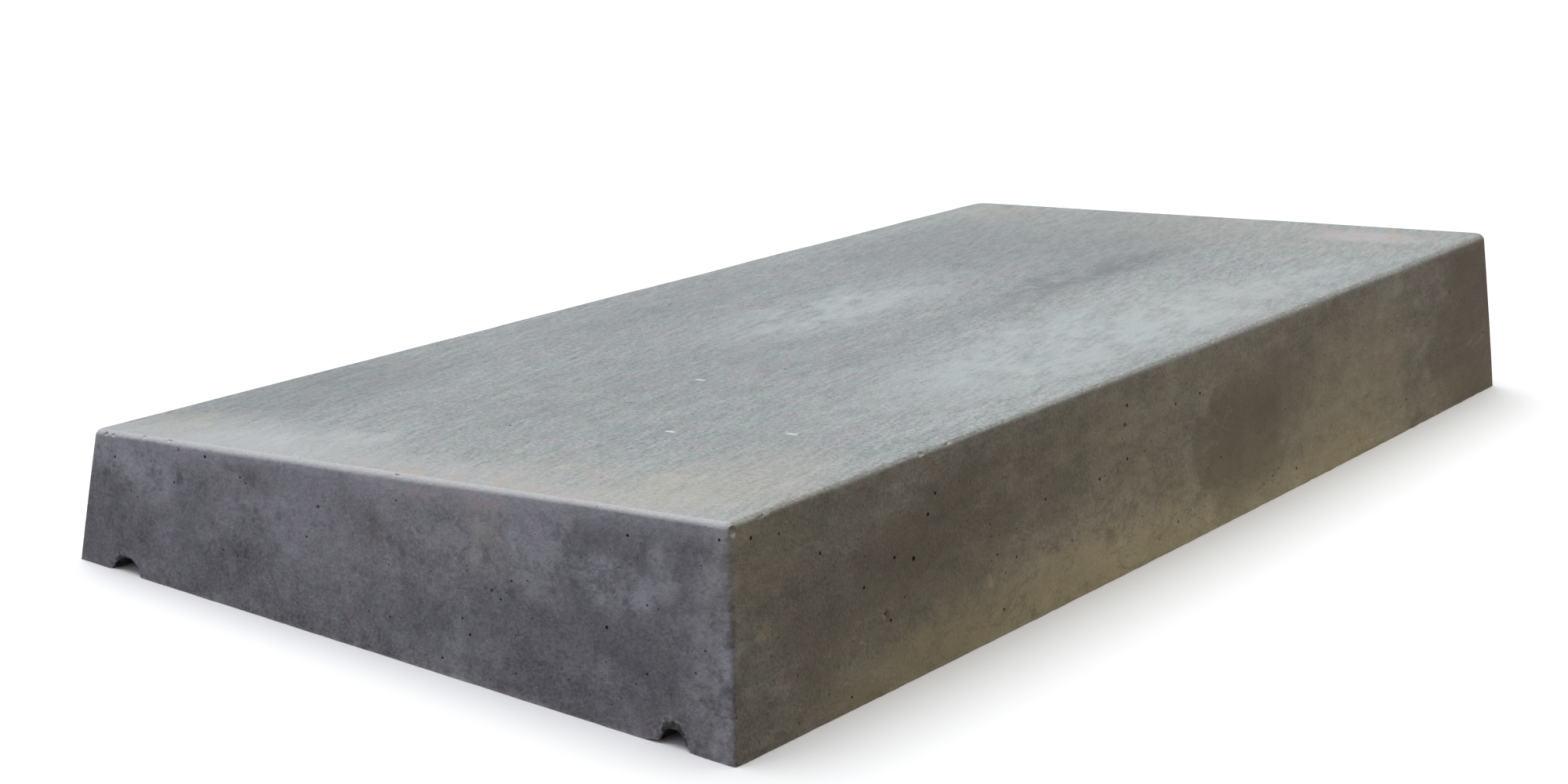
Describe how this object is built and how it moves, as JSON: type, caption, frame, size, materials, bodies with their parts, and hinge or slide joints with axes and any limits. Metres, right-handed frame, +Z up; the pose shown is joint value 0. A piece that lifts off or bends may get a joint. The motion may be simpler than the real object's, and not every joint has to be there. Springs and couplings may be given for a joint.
{
  "type": "precast concrete wall coping",
  "caption": "Once-weathered precast concrete coping slab with drafted sides, rounded upper arrises, half-round drip grooves and a cast-in tied steel cage.",
  "frame": {"origin": "middle of the underside (bedding face), at the bottom centre of the bounding box", "axes": "+Z up; +Y along the wall, the long way; +X across the wall, from the thin long side to the thick long side"},
  "size_m": [0.3019, 0.61, 0.0748],
  "materials": {
    "concrete": "wet-cast pigmented concrete, smooth mould face, matt with a faint sheen on top",
    "bar_steel": "mild steel bar with a light rust bloom",
    "binding_wire": "black annealed wire",
    "hanger_wire": "galvanised wire, dull"
  },
  "bodies": {
    "root": {"concrete_casting": "concrete", "long_bar_1": "bar_steel", "long_bar_2": "bar_steel", "long_bar_3": "bar_steel", "cross_bar_1": "bar_steel", "cross_bar_2": "bar_steel", "cross_bar_3": "bar_steel", "cross_bar_4": "bar_steel", "cross_bar_5": "bar_steel", "binding_wire_01": "binding_wire", "binding_wire_02": "binding_wire", "binding_wire_03": "binding_wire", "binding_wire_04": "binding_wire", "binding_wire_05": "binding_wire", "binding_wire_06": "binding_wire", "binding_wire_07": "binding_wire", "binding_wire_08": "binding_wire", "binding_wire_09": "binding_wire", "binding_wire_10": "binding_wire", "binding_wire_11": "binding_wire", "binding_wire_12": "binding_wire", "binding_wire_13": "binding_wire", "binding_wire_14": "binding_wire", "binding_wire_15": "binding_wire", "hanger_wire_1": "hanger_wire", "hanger_wire_2": "hanger_wire", "hanger_wire_3": "hanger_wire", "hanger_wire_4": "hanger_wire", "hanger_wire_5": "hanger_wire", "hanger_wire_6": "hanger_wire"}
  },
  "joints": []
}
